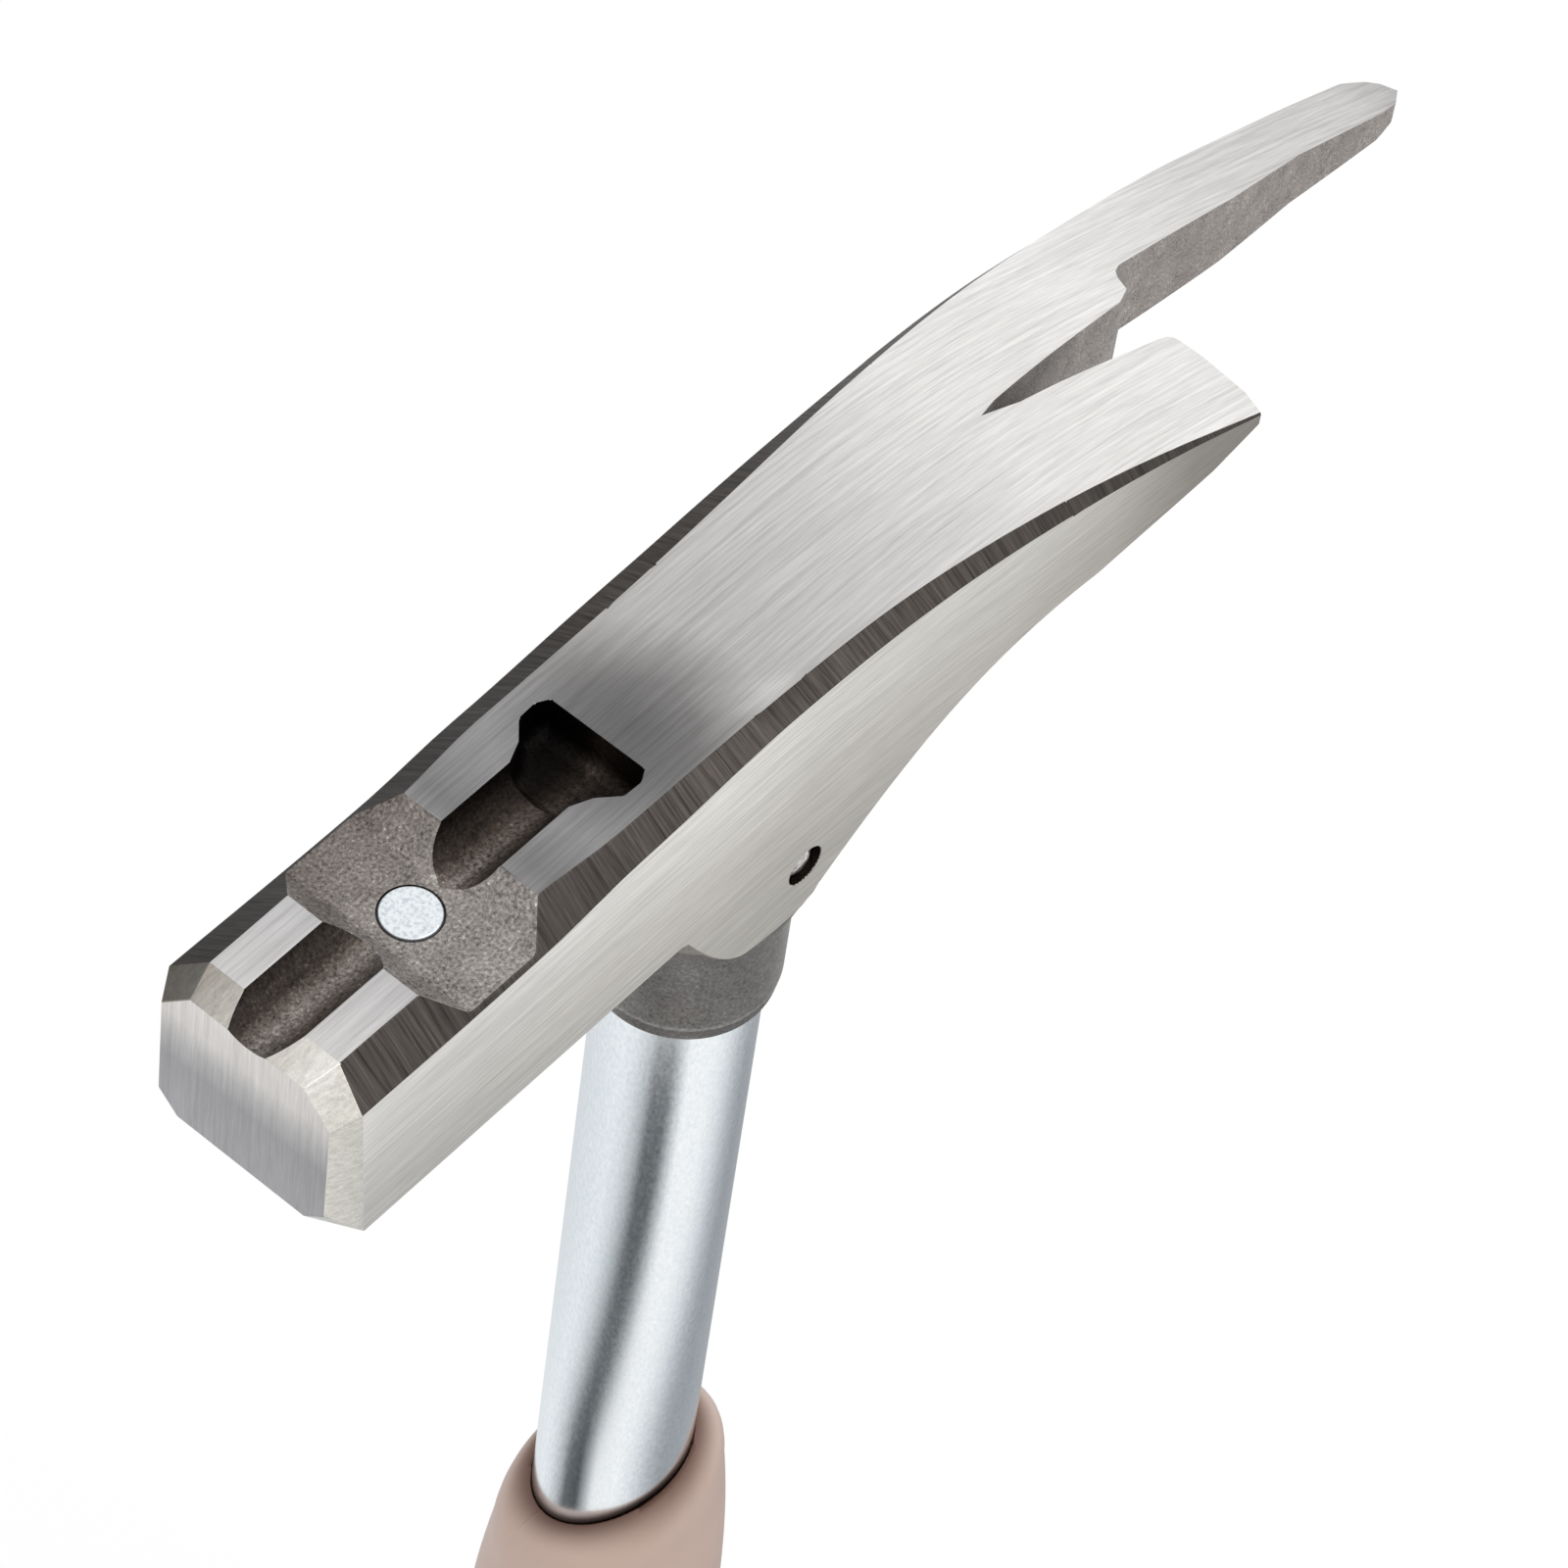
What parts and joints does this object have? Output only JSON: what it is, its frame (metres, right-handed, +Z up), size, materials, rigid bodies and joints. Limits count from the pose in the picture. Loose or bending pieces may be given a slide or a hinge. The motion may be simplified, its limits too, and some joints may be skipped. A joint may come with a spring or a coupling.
{
  "type": "lath hammer",
  "caption": "Lath hammer with an eight-sided striking face, a magnetic nail holder in the top, a long pointed claw beside a short one, a tubular steel shaft and a moulded grip.",
  "frame": {"origin": "on the tube's axis, in the flat end of the grip that the hammer stands on", "axes": "+Z up the tube to the top of the head; +X from the striking face to the claws; +Y towards the long claw's side"},
  "size_m": [0.2087, 0.0344, 0.32],
  "materials": {
    "forged_steel": "ground satin steel with dark as-forged recesses",
    "magnet": "nickel-plated, finely pitted",
    "bond": "dark cured adhesive",
    "zinc_tube": "bright zinc-plated steel",
    "pin_steel": "ground flush",
    "core_wood": "bare",
    "plug": "matte",
    "grip": "smooth, semi-gloss"
  },
  "bodies": {
    "root": {"head": "forged_steel", "nail_magnet": "magnet", "magnet_bond": "bond", "handle_tube": "zinc_tube", "cross_pin": "pin_steel", "socket_core": "core_wood", "tube_end_plug": "plug", "grip": "grip"}
  },
  "joints": []
}
